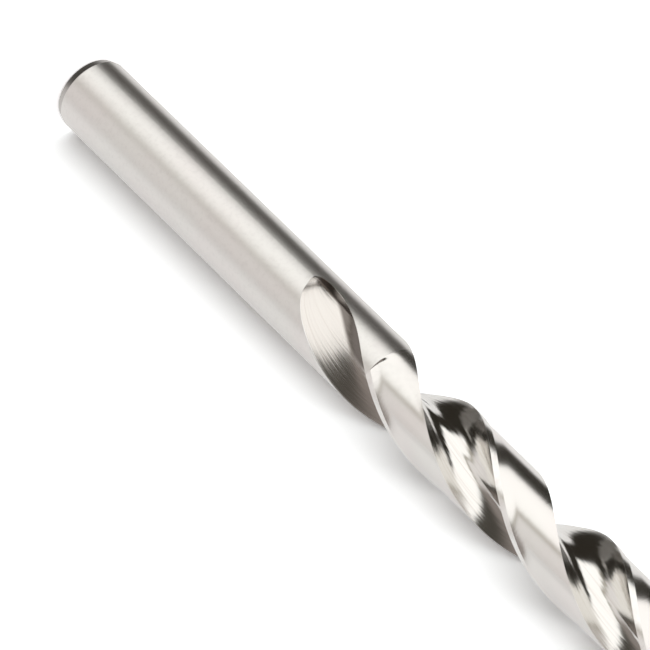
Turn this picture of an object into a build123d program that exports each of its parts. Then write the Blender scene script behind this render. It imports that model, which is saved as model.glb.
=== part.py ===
from build123d import *
import os
from math import acos, asin, atan, ceil, cos, degrees, pi, radians, sin, sqrt, tan

# Jobber-length twist drill, ground from one bar of high-speed steel: one solid.
# Frame: the shank end face lies on Z = 0 with the axis along +Z and the point at the top.
# Angles about the axis are in degrees, anticlockwise seen from the point.

# ---- driving dimensions, in millimetres and degrees ----
diameter = 10.0              # over the margins, at the point
overall_length = 133.0
flute_length = 85.5          # from the point to where the flutes leave the shank
back_taper = 0.0005          # loss of diameter for each millimetre from the point to the shank
shank_chamfer = 1.0          # 45 degree chamfer round the shank end
helix_angle = 30.6           # at the outside diameter, right hand
flute_width_angle = 95.0     # part of a turn that each of the two flutes takes up
web_thickness = 1.7          # core left between the flutes, at the point
web_growth = 0.012           # thickening of the core for each millimetre towards the shank
web_angle = 62.0             # where the floor touches the core, measured from the leading edge
heel_lean = 20.0             # lean of the heel wall past the radial direction
lip_stations = (1.0, 0.64, 0.4)            # shares of the radius where the face is held to a straight lip
face_spacing = (0.0, 2.0, 3.8, 5.0, 6.8)   # distances along the flute face to each point that it passes
wall_spacing = (0.0, 4.4, 6.4)             # distances along the flute wall to each point that it passes
runout_radius = 21.7         # radius on which the flute floor climbs out of the bar
runout_heading = 80.0        # way the floor moves out, measured from the leading edge
margin_width = 0.85          # full-diameter strip behind each leading edge
margin_slope = 0.5           # width of the slope between the margin and the cleared land
clearance_depth = 0.21       # how far the cleared land lies below the margin
clearance_setback = 15.3     # from the start of the flutes to the start of the cleared land
flute_setback = 1.0          # from the end of the plain shank to the start of the flutes
point_angle = 118.0
lip_relief = 10.0            # clearance angle behind the lip at the outer corner
chisel_angle = 128.0         # from lip to chisel edge, seen from the point
cutter_overrun = 2.0         # how far each cut reaches outside the bar, and past its end
cut_overlap = 10.0           # angle by which a land's clearance reaches into the next flute
station_turn = 24.0          # turn between neighbouring cross-sections of a helical cut

# ---- sizes that follow ----
radius = diameter / 2
cleared_radius = radius - clearance_depth
outside = radius + cutter_overrun
flute_start = overall_length - flute_length
shank_length = flute_start - flute_setback
shank_radius = radius - back_taper * (overall_length - shank_length) / 2
clearance_start = flute_start + clearance_setback
lead = pi * diameter / tan(radians(helix_angle))
twist = 360 / lead                                   # degrees of turn for each millimetre
half_point = radians(point_angle / 2)
cut_top = overall_length + cutter_overrun


def polar(distance, angle):
    """Point at a distance from the drill axis and an angle about it."""
    return Vector(distance * cos(radians(angle)), distance * sin(radians(angle)))


def half_web(height):
    """Half the core thickness at a height."""
    return (web_thickness + web_growth * (overall_length - height)) / 2


def exit_lift():
    """Lift that brings the lowest point of the floor to the surface of the bar."""
    core = half_web(flute_start)
    along = core * cos(radians(runout_heading - web_angle))
    return sqrt(along**2 + radius**2 - core**2) - along


runout_length = sqrt(runout_radius**2 - (runout_radius - exit_lift()) ** 2)
full_depth_height = flute_start + runout_length


def floor_lift(height):
    """How far the floor has climbed out of the flute at a height."""
    short = max(full_depth_height - height, 0.0)
    return runout_radius - sqrt(runout_radius**2 - short**2)


def lip_face(distance):
    """Point of the flute face, curved so that a cone of the point angle gives a straight lip."""
    offset = web_thickness / 2
    hook = degrees(asin(offset / distance) - asin(offset / radius))
    return polar(distance, hook - twist * (radius - distance) / tan(half_point))


def flute_section(height):
    """Outline that one flute cuts at a height, with its leading edge at angle 0."""
    bottom = polar(half_web(height), web_angle)
    heading = polar(1, web_angle + 90)
    heel = polar(radius, flute_width_angle)
    heel_heading = polar(1, flute_width_angle - heel_lean)
    face_end = Vector(outside, 0)
    heel_end = heel + heel_heading * cutter_overrun
    corner = Vector(outside, heel_end.Y)
    face_points = [face_end, *(lip_face(radius * share) for share in lip_stations), bottom]
    face = Edge.make_spline(face_points, tangents=[Vector(-1, 0), heading], parameters=face_spacing)
    wall_points = [bottom, heel, heel_end]
    wall = Edge.make_spline(wall_points, tangents=[heading, heel_heading], parameters=wall_spacing)
    lift = polar(floor_lift(height), runout_heading)
    outline = Wire([face, wall, Edge.make_line(heel_end, corner), Edge.make_line(corner, face_end)])
    return outline.moved(Location(lift))


def tapered_bar(tip_radius, bottom, top):
    """Round bar between two heights, with its radius at the point given and the back taper below."""
    bottom_radius = tip_radius - back_taper * (overall_length - bottom) / 2
    top_radius = tip_radius - back_taper * (overall_length - top) / 2
    return Solid.make_cone(bottom_radius, top_radius, top - bottom).moved(Location((0, 0, bottom)))


def clearance_section(height):
    """Sector over one land behind its margin, closed in front by a slope that crosses the bar's surface."""
    margin_end = -degrees(margin_width / radius)
    slope_end = margin_end - degrees(margin_slope / radius)
    land_end = flute_width_angle - 180 - cut_overlap
    slope = polar(radius, margin_end) - polar(cleared_radius, slope_end)
    slope_top = polar(radius, margin_end) + slope
    slope_bottom = polar(cleared_radius, slope_end) - slope
    rim = Edge.make_three_point_arc(polar(outside, 0), polar(outside, land_end / 2), polar(outside, land_end))
    corners = [rim @ 1, polar(slope_bottom.length, land_end), slope_bottom, slope_top, rim @ 0]
    return Wire([rim, *(Edge.make_line(*ends) for ends in zip(corners, corners[1:]))])


def helical_cut(section, bottom, start_angle):
    """Solid swept up the drill through turned cross-sections of one cut."""
    steps = ceil((cut_top - bottom) * twist / station_turn)
    wires = []
    for step in range(steps + 1):
        height = bottom + (cut_top - bottom) * step / steps
        wires.append(section(height).moved(Location((0, 0, height), (0, 0, start_angle + twist * height))))
    return Solid.make_loft(wires)


def clearance_cut(start_angle):
    """Shallow cut over one land that leaves the cleared diameter."""
    core = tapered_bar(cleared_radius, clearance_start - cutter_overrun, cut_top + cutter_overrun)
    return helical_cut(clearance_section, clearance_start, start_angle) - core


def flank_cut(start_angle):
    """Everything above one conical flank, which falls away behind its lip."""
    lead_in = radians(chisel_angle - 90)
    fall = tan(radians(lip_relief)) * sin(half_point) ** 2
    tilt = atan(fall * sin(half_point)
                / (sin(half_point) * sin(lead_in) + fall * cos(half_point) * cos(lead_in)))
    cone_half = acos(sin(half_point) * sin(tilt) * cos(lead_in) + cos(half_point) * cos(tilt))
    corner_height = overall_length - radius / tan(half_point)
    lip_heading = start_angle + twist * corner_height - degrees(asin(web_thickness / diameter))
    depth = 3 * diameter
    cone = Solid.make_cone(depth * tan(cone_half), 0, depth).moved(Location((0, 0, -depth)))
    lean = Location((0, 0, overall_length), (0, 0, lip_heading + degrees(lead_in)))
    cone = cone.moved(lean * Location((0, 0, 0), (0, -degrees(tilt), 0)))
    block = Cylinder(outside, diameter + cutter_overrun,
                     align=(Align.CENTER, Align.CENTER, Align.MAX)).moved(Location((0, 0, cut_top)))
    return block - cone


shank = Cylinder(shank_radius, shank_length, align=(Align.CENTER, Align.CENTER, Align.MIN))
shank = chamfer(shank.edges().sort_by(Axis.Z)[0], shank_chamfer)
drill = shank + tapered_bar(radius, shank_length, overall_length)
for start_angle in (0, 180):
    drill -= helical_cut(flute_section, flute_start - cutter_overrun, start_angle)
    drill -= clearance_cut(start_angle)
    drill -= flank_cut(start_angle)

os.makedirs("parts", exist_ok=True)
export_step(drill, "parts/drill_bit.step")
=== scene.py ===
"""Twist drill: a fine visual mesh, its ground-steel materials, the camera and the studio.

The drill stands on its shank end at the origin with its axis along +Z, in metres, as the frame does.
Sections are worked out in millimetres in the frame that turns with the first leading edge, and are
turned and scaled when the mesh is made.
"""
from math import acos, asin, atan, cos, degrees, pi, radians, sin, sqrt, tan

import bmesh
import bpy
import numpy as np
from mathutils import Matrix, Vector
from mathutils.geometry import delaunay_2d_cdt


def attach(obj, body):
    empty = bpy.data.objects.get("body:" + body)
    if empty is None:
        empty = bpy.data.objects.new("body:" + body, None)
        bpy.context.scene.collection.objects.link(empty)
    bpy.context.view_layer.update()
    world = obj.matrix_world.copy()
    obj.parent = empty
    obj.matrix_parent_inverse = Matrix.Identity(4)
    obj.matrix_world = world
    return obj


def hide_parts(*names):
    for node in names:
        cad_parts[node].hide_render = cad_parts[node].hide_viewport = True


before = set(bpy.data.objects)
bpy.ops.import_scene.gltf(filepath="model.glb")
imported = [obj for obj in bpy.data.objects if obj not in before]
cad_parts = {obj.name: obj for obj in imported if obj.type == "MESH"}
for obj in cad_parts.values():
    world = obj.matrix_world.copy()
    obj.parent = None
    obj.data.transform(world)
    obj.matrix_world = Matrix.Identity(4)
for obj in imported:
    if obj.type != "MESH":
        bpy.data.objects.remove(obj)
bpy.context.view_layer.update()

MM = 0.001

# ---- the drill's driving sizes, in millimetres and degrees ----
OVERALL_LENGTH = 133.0
RADIUS = 5.0                 # over the margins, at the point
FLUTE_START = 47.5           # height where the flutes leave the bar
BACK_TAPER = 0.0005          # loss of diameter for each millimetre from the point to the shank
CHAMFER_LENGTH = 1.0         # of the shank end's chamfer, along the axis
CHAMFER_DEPTH = 0.32         # of the same chamfer, across the axis
HELIX_ANGLE = 30.6           # at the outside diameter, right hand
FLUTE_WIDTH = 95.0           # part of a turn that each flute takes up
WEB_THICKNESS = 1.7          # core left between the flutes, at the point
WEB_GROWTH = 0.012           # thickening of the core for each millimetre towards the shank
WEB_ANGLE = 62.0             # where the floor touches the core, measured from the leading edge
HEEL_LEAN = 20.0             # lean of the heel wall past the radial direction
LIP_STATIONS = (1.0, 0.64, 0.4)              # shares of the radius where the face is held to the lip
FACE_SPACING = (0.0, 2.0, 3.8, 5.0, 6.8)     # knots of the face's curve, about the distance along it
WALL_SPACING = (0.0, 4.4, 6.4)               # knots of the wall's curve, in the same way
CUTTER_OVERRUN = 2.0         # how far a flute's curve reaches outside the bar
RUNOUT_RADIUS = 21.7         # radius on which the floor climbs out of the bar
RUNOUT_HEADING = 80.0        # way the floor moves out, measured from the leading edge
MARGIN_WIDTH = 0.85
MARGIN_HOLLOW = 1.4          # width of the hollow between the margin and the cleared land
CLEARANCE_DEPTH = 0.21
CLEARANCE_START = 62.8       # height where the clearance starts
POINT_ANGLE = 118.0
LIP_RELIEF = 10.0
CHISEL_ANGLE = 128.0

# ---- the start of the clearance: how far up the land it takes to reach its depth ----
CLEARANCE_STEP = 0.05        # beside the margin
CLEARANCE_FADE = 14.0        # at most, towards the heel
FADE_FACTOR = 0.03           # the way between them is this, times the distance behind the margin ...
FADE_POWER = 3.2             # ... to this power

# ---- the floor of the run-out. Widths and depths are shares of the flute's width ----
SHALLOW_BELOW = 55.0         # height below which the flute has this floor
SHALLOW_GONE = 66.0          # height where the floor has passed into the flute's own shape
SIDE_LEAN = 0.10             # how far the side under the leading edge leans in
SIDE_DEPTH = 0.30            # how deep the same side is
SIDE_COLUMNS = 0.2           # share of the flute's columns that lie on the side
FLOOR_HOLLOW = 0.05          # depth of the hollow in the floor, where the flute leaves the bar
HOLLOW_GAIN = 0.06           # depth that the hollow gains
HOLLOW_GROWS = (50.0, 58.0)  # heights between which it gains it

# ---- how finely the mesh is divided ----
FACE_SAMPLES = 700           # points along a flute's curve, on the face and on the wall
WALL_SAMPLES = 600
FACE_COLUMNS = 52            # across one flute
LAND_COLUMNS = 30            # across one land, from the heel to the hollow
HOLLOW_COLUMNS = 10
MARGIN_COLUMNS = 4
FIRST_PITCH = 0.02           # millimetres between the first two rows of a cut
PITCH_GROWTH = 1.25          # from each row to the next, up to the full pitch
ROW_PITCH = 0.33
RUNOUT_NUDGE = 1e-4          # lifts the first row off the height where the flute only touches the bar
CLEARANCE_NUDGE = 1e-6       # lifts a row off the height where the clearance starts
SHANK_GAP = 1.0              # between the shank's last ring and the first row
POINT_ROWS = 24
POINT_ROWS_FROM = 125.5      # height where the rows start to bend towards the point
CAP_PITCH = 0.22             # spacing of the points inside the ground point
CAP_CLEARANCE = 0.6          # share of that spacing which they keep from the rim and the chisel edge
CHISEL_REACH = 0.97          # share of the chisel edge that is a crease
CHISEL_POINTS = 13
MERGE_DISTANCE = 2e-7        # metres
DEGENERATE_LENGTH = 1e-8     # metres
CREASE_ANGLE = 14.0          # degrees between faces, past which an edge is sharp

# ---- how long the searches go on ----
RUNOUT_HALVINGS = 40
POINT_PASSES = 30
POINT_GUESS = 3.0            # how far below the tip the search for the point's height starts
CHISEL_TRIES = 721           # directions tried over half a turn
CHISEL_PROBE = 0.4           # distance from the axis at which they are tried

TWIST = degrees(tan(radians(HELIX_ANGLE)) / RADIUS)      # degrees of turn for each millimetre
HALF_POINT = radians(POINT_ANGLE / 2)


def polar(distance, angle):
    """Point at a distance from the axis and an angle about it, in degrees."""
    return np.array([distance * cos(radians(angle)), distance * sin(radians(angle))])


def angle_of(point):
    """Angle of a point about the axis, in degrees."""
    return degrees(np.arctan2(point[1], point[0]))


def smooth(value, low, high):
    """A smooth step from 0 at the first end to 1 at the other, which may be the smaller of the two."""
    share = np.clip((value - low) / (high - low), 0, 1)
    return share**2 * (3 - 2 * share)


def bar_radius(height):
    """Radius of the bar at a height, with the back taper."""
    return RADIUS - BACK_TAPER * (OVERALL_LENGTH - height) / 2


def half_web(height):
    """Half the thickness of the core at a height."""
    return (WEB_THICKNESS + WEB_GROWTH * (OVERALL_LENGTH - height)) / 2


def floor_lift(height):
    """How far the flute's floor has climbed out at a height, on its run-out arc."""
    core = half_web(FLUTE_START)
    along = core * cos(radians(RUNOUT_HEADING - WEB_ANGLE))
    exit_lift = sqrt(along**2 + RADIUS**2 - core**2) - along
    length = sqrt(RUNOUT_RADIUS**2 - (RUNOUT_RADIUS - exit_lift) ** 2)
    short = max(FLUTE_START + length - height, 0.0)
    return RUNOUT_RADIUS - sqrt(RUNOUT_RADIUS**2 - short**2)


def clamped_spline(knots, points, first, last, samples):
    """Points along the smooth cubic curve through the points, with unit directions at its ends."""
    t = np.array(knots, float)
    p = np.array(points, float)
    gaps = np.diff(t)
    count = len(t)
    matrix = np.zeros((count, count))
    right = np.zeros((count, 2))
    matrix[0, 0] = matrix[-1, -1] = 1
    right[0], right[-1] = first, last
    for i in range(1, count - 1):
        before, after = gaps[i - 1], gaps[i]
        matrix[i, i - 1:i + 2] = after, 2 * (before + after), before
        right[i] = 3 * (after * (p[i] - p[i - 1]) / before + before * (p[i + 1] - p[i]) / after)
    slopes = np.linalg.solve(matrix, right)
    at = np.linspace(t[0], t[-1], samples)
    span = np.clip(np.searchsorted(t, at, side="right") - 1, 0, count - 2)
    h = gaps[span][:, None]
    s = ((at - t[span]) / gaps[span])[:, None]
    return ((1 + 2 * s) * (1 - s) ** 2 * p[span] + s * (1 - s) ** 2 * h * slopes[span]
            + s**2 * (3 - 2 * s) * p[span + 1] + s**2 * (s - 1) * h * slopes[span + 1])


def lip_face(distance):
    """Point of the flute's face that makes the ground lip straight, at a distance from the axis."""
    offset = WEB_THICKNESS / 2
    hook = degrees(asin(offset / distance) - asin(offset / RADIUS))
    return polar(distance, hook - TWIST * (RADIUS - distance) / tan(HALF_POINT))


def flute_curve(height):
    """The flute's cut at a height: from outside the leading edge, over the floor, to past the heel."""
    bottom = polar(half_web(height), WEB_ANGLE)
    heading = polar(1, WEB_ANGLE + 90)
    heel = polar(RADIUS, FLUTE_WIDTH)
    heel_heading = polar(1, FLUTE_WIDTH - HEEL_LEAN)
    on_lip = [lip_face(share * RADIUS) for share in LIP_STATIONS]
    face_points = [(RADIUS + CUTTER_OVERRUN, 0), *on_lip, bottom]
    wall_points = [bottom, heel, heel + CUTTER_OVERRUN * heel_heading]
    face = clamped_spline(FACE_SPACING, face_points, (-1, 0), heading, FACE_SAMPLES)
    wall = clamped_spline(WALL_SPACING, wall_points, heading, heel_heading, WALL_SAMPLES)
    return np.vstack([face, wall[1:]]) + polar(floor_lift(height), RUNOUT_HEADING)


def crossing(curve, reach, radius, last):
    """Where the curve passes a radius: on its way in, or on its last way out."""
    inside = np.nonzero(reach < radius)[0]
    a, b = (inside[-1], inside[-1] + 1) if last else (inside[0] - 1, inside[0])
    share = (radius - reach[a]) / (reach[b] - reach[a])
    return a + share, curve[a] + share * (curve[b] - curve[a])


def land_depth(height, behind):
    """How far a land lies below the bar's surface, at a height and a distance behind its margin.

    The clearance starts with a step beside the margin, which softens and fades out towards the heel.
    """
    fade = np.clip(FADE_FACTOR * behind**FADE_POWER, CLEARANCE_STEP, CLEARANCE_FADE)
    hollow = 1 - (1 - np.clip(behind / MARGIN_HOLLOW, 0, 1)) ** 2
    return CLEARANCE_DEPTH * smooth(height - CLEARANCE_START, 0, fade) * hollow


def shallow_floor(edge, heel, height):
    """Flute points of the run-out: a steep side under the leading edge, then a floor up to the heel."""
    along = heel - edge
    inward = np.array([along[1], -along[0]])
    inward = -inward if inward @ (edge + heel) > 0 else inward
    crease = edge + SIDE_LEAN * along + SIDE_DEPTH * inward
    hollow = FLOOR_HOLLOW + HOLLOW_GAIN * smooth(height, *HOLLOW_GROWS)
    k = np.linspace(0, 1, FACE_COLUMNS + 1)[:, None]
    down = np.clip(k / SIDE_COLUMNS, 0, 1)
    up = np.clip((k - SIDE_COLUMNS) / (1 - SIDE_COLUMNS), 0, 1)
    return edge + down * (crease - edge) + up * (heel - crease) + hollow * np.sin(pi * up) * inward


def half_section(height):
    """One flute and the land after it, as columns from one leading edge to just before the next."""
    radius = bar_radius(height)
    curve = flute_curve(height)
    reach = np.hypot(*curve.T)
    start, edge = crossing(curve, reach, radius, last=False)
    next_edge = angle_of(edge) + 180
    margin_start = next_edge - degrees(MARGIN_WIDTH / RADIUS)
    heel_depth = land_depth(height, RADIUS * radians(margin_start - FLUTE_WIDTH))
    end, heel = crossing(curve, reach, radius - heel_depth, last=True)
    at = np.linspace(start, end, FACE_COLUMNS + 1)
    index = np.arange(len(curve))
    flute = np.column_stack([np.interp(at, index, curve[:, 0]), np.interp(at, index, curve[:, 1])])
    flute[0], flute[-1] = edge, heel
    flute += smooth(height, SHALLOW_GONE, SHALLOW_BELOW) * (shallow_floor(edge, heel, height) - flute)
    hollow_start = margin_start - degrees(MARGIN_HOLLOW / RADIUS)
    angles = [*np.linspace(angle_of(heel), hollow_start, LAND_COLUMNS + 1),
              *np.linspace(hollow_start, margin_start, HOLLOW_COLUMNS + 1)[1:-1]]
    land = [polar(radius - land_depth(height, RADIUS * radians(margin_start - a)), a) for a in angles]
    land[0] = heel
    margin = [polar(radius, a) for a in np.linspace(margin_start, next_edge, MARGIN_COLUMNS + 1)[:-1]]
    return np.array([*flute, *land, *margin])


def section(height):
    """The whole outline at a height, in the frame that turns with the first leading edge."""
    half = half_section(height)
    return np.vstack([half, -half])


def turned(points, height):
    """Points of the turning frame in the drill's own frame, at one height or each at its own."""
    turn = np.radians(TWIST * np.broadcast_to(height, len(points)))
    x = points[:, 0] * np.cos(turn) - points[:, 1] * np.sin(turn)
    y = points[:, 0] * np.sin(turn) + points[:, 1] * np.cos(turn)
    return np.column_stack([x, y, np.broadcast_to(height, len(points))])


def runout_end():
    """Height where the flute leaves the bar."""
    low, high = FLUTE_START - 2.0, FLUTE_START + 1.0
    for _ in range(RUNOUT_HALVINGS):
        middle = (low + high) / 2
        touches = np.hypot(*flute_curve(middle).T).min() < bar_radius(middle)
        low, high = (low, middle) if touches else (middle, high)
    return high


def flank_heights(x, y):
    """Height of each of the two ground flanks over points of the drill's frame, stacked.

    Each flank lies on a cone whose axis leans so that the surface falls away behind its lip.
    """
    lead_in = radians(CHISEL_ANGLE - 90)
    fall = tan(radians(LIP_RELIEF)) * sin(HALF_POINT) ** 2
    lean = sin(HALF_POINT) * sin(lead_in) + fall * cos(HALF_POINT) * cos(lead_in)
    tilt = atan(fall * sin(HALF_POINT) / lean)
    cone_half = acos(sin(HALF_POINT) * sin(tilt) * cos(lead_in) + cos(HALF_POINT) * cos(tilt))
    corner_height = OVERALL_LENGTH - RADIUS / tan(HALF_POINT)
    turn = radians(TWIST * corner_height) - asin(WEB_THICKNESS / 2 / RADIUS) + lead_in
    heights = []
    for start in (0, pi):
        axis = np.array([sin(tilt) * cos(turn + start), sin(tilt) * sin(turn + start), -cos(tilt)])
        across = x * axis[0] + y * axis[1]
        a = axis[2] ** 2 - cos(cone_half) ** 2
        b = 2 * axis[2] * across
        c = across**2 - (x**2 + y**2) * cos(cone_half) ** 2
        heights.append((-b - np.sqrt(np.maximum(b**2 - 4 * a * c, 0))) / (2 * a) + OVERALL_LENGTH)
    return np.array(heights)


def point_height(x, y):
    """Height of the ground point over points of the drill's frame: the lower of the two flanks."""
    return flank_heights(x, y).min(axis=0)


def row_heights():
    """Heights of the level rows: close together where a cut starts, then evenly spaced."""
    heights = []
    for start, stop in ((runout_end() + RUNOUT_NUDGE, CLEARANCE_START),
                        (CLEARANCE_START + CLEARANCE_NUDGE, POINT_ROWS_FROM)):
        height = start
        pitch = FIRST_PITCH
        while height < stop - 1.5 * ROW_PITCH:
            heights.append(height)
            height += pitch
            pitch = min(pitch * PITCH_GROWTH, ROW_PITCH)
        heights += [height, stop]
    return heights


def point_rows():
    """Rows from the last level one up to where each column meets the ground point."""
    low, high = section(POINT_ROWS_FROM), section(OVERALL_LENGTH)
    span = OVERALL_LENGTH - POINT_ROWS_FROM

    def at(heights):
        share = ((heights - POINT_ROWS_FROM) / span)[:, None]
        return turned(low + share * (high - low), heights)

    top = np.full(len(low), OVERALL_LENGTH - POINT_GUESS)
    for _ in range(POINT_PASSES):
        place = at(top)
        top = point_height(place[:, 0], place[:, 1])
    climb = top - POINT_ROWS_FROM
    return [at(POINT_ROWS_FROM + climb * k / POINT_ROWS) for k in range(1, POINT_ROWS + 1)]


def chisel_angle():
    """Direction of the chisel edge across the axis, where the two flanks are equally high."""
    directions = radians(TWIST * OVERALL_LENGTH) + np.linspace(0, pi, CHISEL_TRIES)
    one, two = flank_heights(CHISEL_PROBE * np.cos(directions), CHISEL_PROBE * np.sin(directions))
    crossed = np.nonzero((one[:-1] < two[:-1]) != (one[1:] < two[1:]))[0][0]
    return directions[crossed]


def build_drill():
    """The whole drill as one closed mesh, with a finish for each face and a lengthwise map.

    The map's first coordinate is the column, from the leading edge, and its second is the height.
    """
    heights = row_heights()
    rows = [turned(section(z), z) for z in heights]
    rows_below_clearance = sum(z <= CLEARANCE_START for z in heights)
    rows += point_rows()
    point_pitch = (OVERALL_LENGTH - POINT_ROWS_FROM) / POINT_ROWS
    row_map = heights + [POINT_ROWS_FROM + point_pitch * k for k in range(1, POINT_ROWS + 1)]
    columns = len(rows[0])
    half = columns // 2
    mesh = bmesh.new()
    lengthwise = mesh.loops.layers.uv.new("lengthwise")

    def ring(points):
        return [mesh.verts.new(tuple(MM * v for v in p)) for p in points]

    def finish_of(column, row):
        column %= half
        if column <= FACE_COLUMNS:
            return FLUTE
        before_margin = column < FACE_COLUMNS + 1 + LAND_COLUMNS + HOLLOW_COLUMNS
        return BODY if row < rows_below_clearance or before_margin else MARGIN

    def strip(low, high, finish, low_v, high_v):
        for c in range(columns):
            d = (c + 1) % columns
            face = mesh.faces.new([low[c], low[d], high[d], high[c]])
            face.material_index = finish(c)
            face.smooth = True
            corners = [(c, low_v), (c + 1, low_v), (c + 1, high_v), (c, high_v)]
            for loop, (u, v) in zip(face.loops, corners):
                loop[lengthwise].uv = (u % half if u % half or u == c else half, v)

    first = rows[0]
    around = first[:, :2] / np.hypot(first[:, 0], first[:, 1])[:, None]
    radius = bar_radius(heights[0])
    shank = []
    for r, z in ((radius - CHAMFER_DEPTH, 0), (radius, CHAMFER_LENGTH), (radius, heights[0] - SHANK_GAP)):
        shank.append(ring([(*(r * p), z) for p in around]))
    rings = [ring(p) for p in rows]
    for low, high in zip(shank, shank[1:] + rings[:1]):
        strip(low, high, lambda c: BODY, 0, 0)
    for k, (low, high) in enumerate(zip(rings, rings[1:])):
        strip(low, high, lambda c: finish_of(c, k), row_map[k], row_map[k + 1])
    end = mesh.faces.new(reversed(shank[0]))
    end.material_index = BODY
    cap_point(mesh, rings[-1], rows[-1])
    bmesh.ops.remove_doubles(mesh, verts=mesh.verts, dist=MERGE_DISTANCE)
    bmesh.ops.dissolve_degenerate(mesh, edges=mesh.edges, dist=DEGENERATE_LENGTH)
    return mesh


def cap_point(mesh, rim, rim_points):
    """The two ground flanks inside the rim, with a crease along the chisel edge."""
    rim_xy = [Vector(p[:2]) for p in rim_points]
    count = len(rim_xy)
    direction = chisel_angle()
    reaches = np.linspace(-CHISEL_REACH, CHISEL_REACH, CHISEL_POINTS) * WEB_THICKNESS / 2
    chisel = [Vector((t * cos(direction), t * sin(direction))) for t in reaches]
    across = np.arange(-RADIUS, RADIUS, CAP_PITCH)
    inside = []
    for i, y in enumerate(across):
        for x in across + (i % 2) * CAP_PITCH / 2:
            place = Vector((x, y))
            if min((place - q).length for q in rim_xy + chisel) > CAP_CLEARANCE * CAP_PITCH:
                inside.append(place)
    edges = [(i, (i + 1) % count) for i in range(count)]
    edges += [(count + i, count + i + 1) for i in range(len(chisel) - 1)]
    places, _, faces, origins, _, _ = delaunay_2d_cdt(rim_xy + chisel + inside, edges, [], 1, 1e-6)
    verts = {}
    for face in faces:
        corners = []
        for i in face:
            known = [o for o in origins[i] if o < count]
            if known:
                corners.append(rim[known[0]])
                continue
            if i not in verts:
                x, y = places[i]
                z = float(point_height(np.array([x]), np.array([y]))[0])
                verts[i] = mesh.verts.new((MM * x, MM * y, MM * z))
            corners.append(verts[i])
        flank = mesh.faces.new(corners)
        flank.material_index = POINT
        flank.smooth = True


class Nodes:
    """Short calls that add a node and link what goes into it. A call that makes a value gives its socket."""

    def __init__(self, tree):
        self.tree = tree

    def add(self, kind, *inputs, **settings):
        """A new node with its settings, and with its first inputs filled in order."""
        node = self.tree.nodes.new("ShaderNode" + kind)
        for name, value in settings.items():
            setattr(node, name, value)
        for socket, value in zip(node.inputs, inputs):
            self.put(socket, value)
        return node

    def put(self, socket, value):
        """Link a socket, set a constant, or leave the input alone where the value is None."""
        if isinstance(value, bpy.types.NodeSocket):
            self.tree.links.new(value, socket)
        elif value is not None:
            socket.default_value = value

    def math(self, operation, *values):
        return self.add("Math", *values, operation=operation).outputs[0]

    def dot(self, one, other):
        return self.add("VectorMath", one, tuple(other), operation="DOT_PRODUCT").outputs["Value"]

    def scaled(self, vector, factors):
        return self.add("VectorMath", vector, factors, operation="MULTIPLY").outputs[0]

    def noise(self, place, detail):
        return self.add("TexNoise", place, None, 1.0, detail).outputs[0]

    def bump(self, height, depth, below=None):
        """Relief of a depth in metres, on top of any relief below it."""
        node = self.add("Bump")
        for name, value in (("Height", height), ("Distance", depth), ("Normal", below)):
            self.put(node.inputs[name], value)
        return node.outputs[0]

    def ramp(self, value, low, high, to_low=0.0, to_high=1.0):
        """A smooth step from one value to another. It falls where low is the greater of the two ends."""
        node = self.add("MapRange", value, low, high, to_low, to_high, interpolation_type="SMOOTHSTEP")
        return node.outputs[0]

    def mix(self, share, one, other, kind="RGBA"):
        node = self.add("Mix", data_type=kind)
        self.put(node.inputs["Factor"], share)
        self.put(node.inputs["A"], one)
        self.put(node.inputs["B"], other)
        return node.outputs["Result"]


# ---- the steel: colours, and the heights in millimetres between which its finish changes ----
CLEAN = (0.735, 0.72, 0.695, 1)
ROSY = (0.735, 0.705, 0.685, 1)
DULL = (0.64, 0.62, 0.60, 1)
BROWN = (0.60, 0.55, 0.51, 1)
# a pale steel: a worn tone on the margins, and a painted highlight on the flutes' edges
WORN_AND_GLINT = (0.80, 0.79, 0.77, 1)
# a dark colour for painted shade: on the shank's chamfer and end face, and along the side of each run-out,
# where dark reflections fall
PAINTED_SHADE_COLOUR = (0.14, 0.122, 0.11, 1)

SATIN_FADES = (80, 56)       # the shank's satin, on the lands
CLEARANCE_FINISH = (CLEARANCE_START + 0.02, CLEARANCE_START)
GROUND_SATIN = 0.5           # share of the satin that is left where the clearance is ground
# heights where the painted shade on the chamfer and the end face sets in
CHAMFER_SHADE_HEIGHTS = (CHAMFER_LENGTH + 0.06, CHAMFER_LENGTH - 0.06)
RUNOUT_ROUGH = (70, 64)      # the rougher finish of the run-out
RUNOUT_BROWN = (66, 60)      # its brown tint
SIDE_SHADE_FADES = (66, 61)       # the painted shade along its side, for a dark reflection there
SIDE_SHADE_WIDENS = (48, 58)
SIDE_SHADE_COLUMNS = (8, 29)      # columns from the leading edge that the painted shade covers at those heights

# The denoiser seems to leave speckles where a roughness crosses about 0.274 in patches. So the bar keeps
# above it up to the start of the clearance, and the rest of the drill keeps below it. Only the worn
# edges of the flutes cross it, in a thin line.
SATIN_ROUGH = 0.11           # what the full satin adds
EDGE_ROUGH = 0.15
RUNOUT_ADDS = 0.10


def steel(name):
    """A new ground-steel material: its nodes, its shader and the place on the drill in millimetres."""
    material = bpy.data.materials.new(name)
    material.use_nodes = True
    n = Nodes(material.node_tree)
    shader = material.node_tree.nodes["Principled BSDF"]
    shader.inputs["Metallic"].default_value = 1
    place = n.scaled(n.add("TexCoord").outputs["Object"], (1000, 1000, 1000))
    return material, n, shader, place


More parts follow.
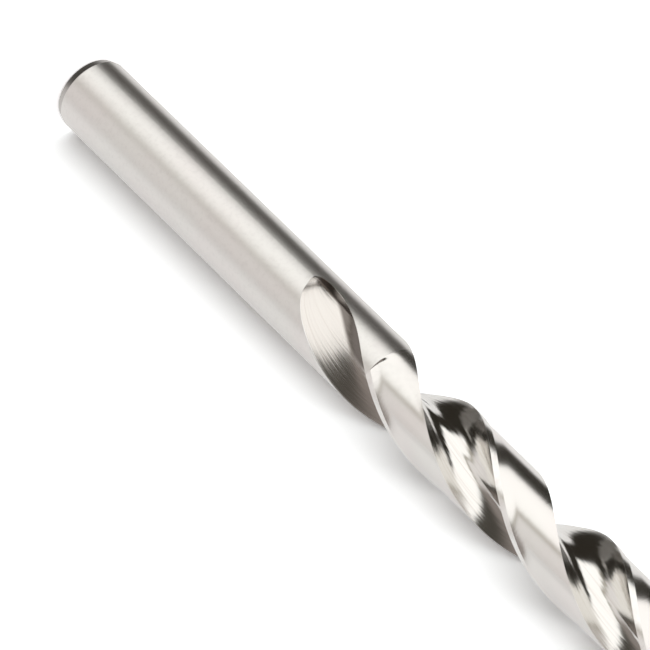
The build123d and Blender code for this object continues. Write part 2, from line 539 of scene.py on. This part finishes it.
def body_steel():
    """Round surfaces of the bar: satin on the shank, smoother on the lands, ground round and round."""
    material, n, shader, place = steel("body_steel")
    height = n.add("SeparateXYZ", place).outputs["Z"]
    unground = n.ramp(height, *CLEARANCE_FINISH, GROUND_SATIN, 1)
    satin = n.math("MULTIPLY", n.ramp(height, *SATIN_FADES), unground)
    rings = n.noise(n.scaled(place, (0.5, 0.5, 11)), detail=3)
    bands = n.noise(n.scaled(place, (0.12, 0.12, 1.3)), detail=2)
    mottle = n.noise(n.scaled(place, (2.2, 2.2, 2.2)), detail=2)
    clouds = n.noise(n.scaled(place, (0.16, 0.16, 0.11)), detail=2)
    warm = n.mix(n.ramp(clouds, 0.35, 0.65), CLEAN, ROSY)
    stained = n.math("MULTIPLY", n.ramp(mottle, 0.45, 0.75), n.math("MULTIPLY", satin, 0.35))
    # painted shade: the chamfer and the end face are darkened in colour, for the dark reflection on them
    rim = n.ramp(height, *CHAMFER_SHADE_HEIGHTS, 0, 0.45)
    n.put(shader.inputs["Base Color"], n.mix(rim, n.mix(stained, warm, DULL), PAINTED_SHADE_COLOUR))
    rough = n.math("ADD", n.math("MULTIPLY", satin, SATIN_ROUGH), n.ramp(mottle, 0.3, 0.7, 0.19, 0.21))
    n.put(shader.inputs["Roughness"], rough)
    relief = n.bump(rings, 2.5e-6)
    relief = n.bump(bands, 8e-6, relief)
    relief = n.bump(n.math("MULTIPLY", mottle, satin), 2e-6, relief)
    n.put(shader.inputs["Normal"], relief)
    return material


def flute_steel():
    """The flutes, with the grinding wheel's marks along them, rougher edges with a painted highlight, a brown
    tint on the run-out and painted shade along its side.
    """
    material, n, shader, place = steel("flute_steel")
    lengthwise = n.add("UVMap", uv_map="lengthwise").outputs[0]
    split = n.add("SeparateXYZ", lengthwise)
    column, height = split.outputs["X"], split.outputs["Y"]
    fine = n.noise(n.scaled(lengthwise, (1.9, 0.10, 1)), detail=3)
    broad = n.noise(n.scaled(lengthwise, (0.42, 0.055, 1)), detail=2)
    stripes = n.noise(n.scaled(lengthwise, (0.9, 0.045, 1)), detail=4)
    # painted highlight: a few columns at each edge of the flute are paler in colour, for the glint of the
    # edge; they are also rougher
    edge = n.math("MAXIMUM", n.ramp(column, 1.1, 0.2), n.ramp(column, FACE_COLUMNS - 1.0, FACE_COLUMNS - 0.2))
    colour = n.mix(n.ramp(stripes, 0.50, 0.72, 0, 0.55), CLEAN, BROWN)
    # painted shade: the run-out's side is darkened in colour for a dark reflection, over more columns further
    # up
    past_painted_side_shade = n.math("SUBTRACT", column, n.ramp(height, *SIDE_SHADE_WIDENS, *SIDE_SHADE_COLUMNS))
    painted_side_shade = n.math("MULTIPLY", n.ramp(past_painted_side_shade, 2.5, -2), n.ramp(height, *SIDE_SHADE_FADES, 0, 0.92))
    colour = n.mix(n.ramp(height, *RUNOUT_BROWN, 0, 0.45), colour, BROWN)
    colour = n.mix(painted_side_shade, colour, PAINTED_SHADE_COLOUR)
    # the painted highlight on the flute's edges lies over all the other colours
    n.put(shader.inputs["Base Color"], n.mix(edge, colour, WORN_AND_GLINT))
    rough = n.math("ADD", n.ramp(fine, 0.3, 0.7, 0.08, 0.15), n.math("MULTIPLY", edge, EDGE_ROUGH))
    runout = n.math("MULTIPLY", n.ramp(height, *RUNOUT_ROUGH), RUNOUT_ADDS)
    n.put(shader.inputs["Roughness"], n.math("ADD", rough, runout))
    relief = n.bump(fine, 7e-6)
    relief = n.bump(broad, 2.2e-5, relief)
    n.put(shader.inputs["Normal"], relief)
    return material


def margin_steel():
    """The narrow margins, finely ground round the drill."""
    material, n, shader, place = steel("margin_steel")
    rings = n.noise(n.scaled(place, (0.8, 0.8, 14)), detail=3)
    clouds = n.noise(n.scaled(place, (0.5, 0.5, 0.5)), detail=3)
    n.put(shader.inputs["Base Color"], n.mix(n.ramp(clouds, 0.35, 0.7), WORN_AND_GLINT, ROSY))
    n.put(shader.inputs["Roughness"], n.ramp(rings, 0.3, 0.7, 0.16, 0.24))
    n.put(shader.inputs["Normal"], n.bump(rings, 3e-6))
    return material


def point_steel():
    """The two flanks of the point, with the marks of the wheel across them."""
    material, n, shader, place = steel("point_steel")
    marks = n.noise(n.scaled(place, (0.5, 7, 0.5)), detail=4)
    n.put(shader.inputs["Base Color"], n.mix(n.ramp(marks, 0.4, 0.75), CLEAN, DULL))
    n.put(shader.inputs["Roughness"], n.ramp(marks, 0.3, 0.7, 0.15, 0.26))
    n.put(shader.inputs["Normal"], n.bump(marks, 8e-6))
    return material


BODY, FLUTE, MARGIN, POINT = range(4)        # the finishes, in the order of the materials
FINISHES = [body_steel(), flute_steel(), margin_steel(), point_steel()]

drill_mesh = bpy.data.meshes.new("ground_drill")
built = build_drill()
built.to_mesh(drill_mesh)
built.free()
for finish in FINISHES:
    drill_mesh.materials.append(finish)
drill_mesh.set_sharp_from_angle(angle=radians(CREASE_ANGLE))
drill = bpy.data.objects.new("ground_drill", drill_mesh)
bpy.context.collection.objects.link(drill)
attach(drill, "root")
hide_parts("drill_bit")

# ---- the camera, in the place that shows the drill as the photograph does ----
TILT_TO_CAMERA = 0.6167      # lean of the drill's axis out of the picture plane, radians
AXIS_FALL = 0.7727           # fall of the axis across the picture, radians
ROLL_ABOUT_AXIS = -7.1742    # turn of the drill about its own axis, radians
FOCAL_PIXELS = 7853.0        # focal length, in pixels of the photograph
PICTURE_PIXELS = 650         # width of the photograph
SENSOR_WIDTH = 36            # millimetres
NEAREST_SEEN = 0.05          # metres
SHANK_END_PLACE = (-29.0086, 28.8087, -967.8113)     # millimetres, in the camera's frame

in_picture = cos(TILT_TO_CAMERA)
axis = Vector((in_picture * cos(AXIS_FALL), -in_picture * sin(AXIS_FALL), sin(TILT_TO_CAMERA)))
across = Vector((-sin(AXIS_FALL), -cos(AXIS_FALL), 0))
facing = across.cross(axis)
facing = facing if facing.z > 0 else -facing
drill_x = sin(ROLL_ABOUT_AXIS) * across + cos(ROLL_ABOUT_AXIS) * facing
drill_y = cos(ROLL_ABOUT_AXIS) * across - sin(ROLL_ABOUT_AXIS) * facing
from_camera = Matrix((drill_x, drill_y, axis))       # turns the camera's frame into the drill's
camera_data = bpy.data.cameras.new("camera")
camera_data.sensor_width = SENSOR_WIDTH
camera_data.lens = FOCAL_PIXELS / PICTURE_PIXELS * SENSOR_WIDTH
camera_data.clip_start = NEAREST_SEEN
camera = bpy.data.objects.new("camera", camera_data)
bpy.context.collection.objects.link(camera)
camera_place = -(from_camera @ Vector(SHANK_END_PLACE)) * MM
camera.matrix_world = Matrix.Translation(camera_place) @ from_camera.to_4x4()
bpy.context.scene.camera = camera


# ---- the studio: a pale sweep beside the drill, a pale floor and a soft surround ----
# In the photograph the drill lies on a white surface. Here it stands, so the sweep takes that surface's
# place beside it. Camera rays see a white world, and the steel mirrors the surround instead.
SWEEP_ANGLE = 20.35          # direction about the drill's axis from the sweep to the drill, degrees
SWEEP_SPANS = (-0.09, 0.3, -0.3, 0.3)        # reach to the back and front, to the left and right, metres
FLOOR_SPANS = (-0.6, 0.6, -0.6, 0.6)
SEEN_MATT = (1.90, 1.96, 2.02, 1)            # of the pale surfaces, as the camera sees them
MIRRORED_MATT = (0.51, 0.51, 0.51, 1)        # the same, mirrored once in the steel
TWICE_MATT = (0.12, 0.11, 0.10, 1)           # the same, mirrored twice or more
SWEEP_GLOW = 0.08                            # to the camera
FLOOR_GLOW = 0.36
MIRRORED_GLOW = (0.62, 0.50)                 # near the drill and away to its left
GLOW_FALLS = (0.026, 0.034)                  # distances to the left between which it falls, metres
TWICE_GLOW = 0.25                            # share of that glow left when it is mirrored twice or more

sweep_out = Vector((cos(radians(SWEEP_ANGLE)), sin(radians(SWEEP_ANGLE)), 0))
camera_back = camera.matrix_world.col[2].to_3d()
sweep_front = (camera_back - camera_back.dot(sweep_out) * sweep_out).normalized()
sweep_right = sweep_out.cross(sweep_front)
sweep_left = sweep_out.cross(Vector((0, 0, 1)))
sweep_left = -sweep_left if sweep_left.dot(sweep_right) > 0 else sweep_left


def build_surround():
    """Soft white light above and behind, a dim room in front and a dark gap low at the back.

    Each pair of numbers is the two ends of the border between two parts, as the share of a direction
    that points up from the sweep, to its front or to its right.
    """
    overhead = (1.40, 1.39, 1.36, 1)
    frame = (0.55, 0.52, 0.46, 1)
    left_side = (0.95, 0.92, 0.90, 1)
    left_low = (0.86, 0.83, 0.81, 1)
    room = (0.08, 0.073, 0.062, 1)
    low_room = (0.30, 0.265, 0.245, 1)
    gap = (0.030, 0.026, 0.020, 1)
    below = (0.80, 0.78, 0.76, 1)
    side_up_to_low = (0.35, 0.05)
    side_up_to_frame = (0.55, 0.65)
    overhead_right_to_side, overhead_up_to_side = (-0.40, -0.52), (0.74, 0.68)
    room_up_to_low = (0.88, 0.42)
    rest_front_to_room = (0.13, 0.22)
    rest_up_to_gap, rest_front_to_gap = (0.70, 0.60), (-0.3, -0.5)
    left_to_gap, right_to_gap = (-0.92, -0.84), (0.66, 0.58)
    below_up_to_gap = (-0.20, 0.10)
    rest_up_to_below = (0.0, -0.12)

    world = bpy.data.worlds.new("studio")
    bpy.context.scene.world = world
    world.use_nodes = True
    world.node_tree.nodes.clear()
    n = Nodes(world.node_tree)
    direction = n.add("TexCoord").outputs["Generated"]
    up = n.dot(direction, sweep_out)
    front = n.dot(direction, sweep_front)
    right = n.dot(direction, sweep_right)
    side = n.mix(n.ramp(up, *side_up_to_low), left_side, left_low)
    side = n.mix(n.ramp(up, *side_up_to_frame), side, frame)
    to_side = n.math("MULTIPLY", n.ramp(right, *overhead_right_to_side), n.ramp(up, *overhead_up_to_side))
    colour = n.mix(to_side, overhead, side)
    in_front = n.mix(n.ramp(up, *room_up_to_low), room, low_room)
    colour = n.mix(n.ramp(front, *rest_front_to_room), colour, in_front)
    behind = n.math("MULTIPLY", n.ramp(up, *rest_up_to_gap), n.ramp(front, *rest_front_to_gap))
    sideways = n.math("MULTIPLY", n.ramp(right, *left_to_gap), n.ramp(right, *right_to_gap))
    behind = n.math("MULTIPLY", behind, sideways)
    colour = n.mix(n.ramp(up, *rest_up_to_below), colour, below)
    colour = n.mix(n.math("MULTIPLY", behind, n.ramp(up, *below_up_to_gap)), colour, gap)
    lit = n.add("Background", colour, 1.0).outputs[0]
    white = n.add("Background", (1, 1, 1, 1), 1.0).outputs[0]
    seen = n.add("LightPath").outputs["Is Camera Ray"]
    shown = n.add("MixShader", seen, lit, white).outputs[0]
    n.add("OutputWorld", shown)


def pale(name, glow, one_sided):
    """Pale matt surface that shows white where it is unshaded and keeps the drill's shadow.

    Mirrored in the drill it is less than white, less again to the left, and dim after two mirrorings.
    The mirrored glow doesn't reach matt surfaces, so it leaves the shadow as dark as it is.
    """
    material = bpy.data.materials.new(name)
    material.use_nodes = True
    material.node_tree.nodes.clear()
    n = Nodes(material.node_tree)
    path = n.add("LightPath")
    seen = path.outputs["Is Camera Ray"]
    direct = n.ramp(path.outputs["Diffuse Depth"], 1, 0)
    twice = n.ramp(path.outputs["Glossy Depth"], 1, 2)
    aside = n.dot(n.add("NewGeometry").outputs["Position"], sweep_left)
    mirrored = n.math("MULTIPLY", direct, n.ramp(aside, *GLOW_FALLS, *MIRRORED_GLOW))
    mirrored = n.math("MULTIPLY", mirrored, n.mix(twice, 1.0, TWICE_GLOW, "FLOAT"))
    mirrored_matt = n.mix(twice, MIRRORED_MATT, TWICE_MATT)
    matt = n.add("BsdfDiffuse", n.mix(seen, mirrored_matt, SEEN_MATT)).outputs[0]
    strength = n.mix(seen, mirrored, glow, "FLOAT")
    shown = n.add("AddShader", matt, n.add("Emission", (1, 1, 1, 1), strength).outputs[0]).outputs[0]
    if one_sided:
        clear = n.add("BsdfTransparent").outputs[0]
        shown = n.add("MixShader", n.add("NewGeometry").outputs["Backfacing"], shown, clear).outputs[0]
    n.add("OutputMaterial", shown)
    return material


def plane(name, middle, facing, along, spans, glow, one_sided):
    """A flat stage surface that reaches some way along and across. It takes shadows and casts none.

    Only a one-sided one is mirrored: the steel's reflections slope down along the drill, so that a
    mirrored floor would fill them.
    """
    across = facing.cross(along)
    back, front, left, right = spans
    reaches = [(back, left), (front, left), (front, right), (back, right)]
    corners = [middle + u * along + v * across for u, v in reaches]
    data = bpy.data.meshes.new(name)
    data.from_pydata([tuple(c) for c in corners], [], [(0, 1, 2, 3)])
    data.materials.append(pale(name, glow, one_sided))
    thing = bpy.data.objects.new(name, data)
    bpy.context.collection.objects.link(thing)
    thing.visible_diffuse = False
    thing.visible_shadow = False
    thing.visible_glossy = one_sided


build_surround()
plane("sweep", -RADIUS * MM * sweep_out, sweep_out, sweep_front, SWEEP_SPANS, SWEEP_GLOW, True)
plane("floor", Vector((0, 0, 0)), Vector((0, 0, 1)), Vector((1, 0, 0)), FLOOR_SPANS, FLOOR_GLOW, False)

bpy.context.scene.view_settings.view_transform = "Standard"
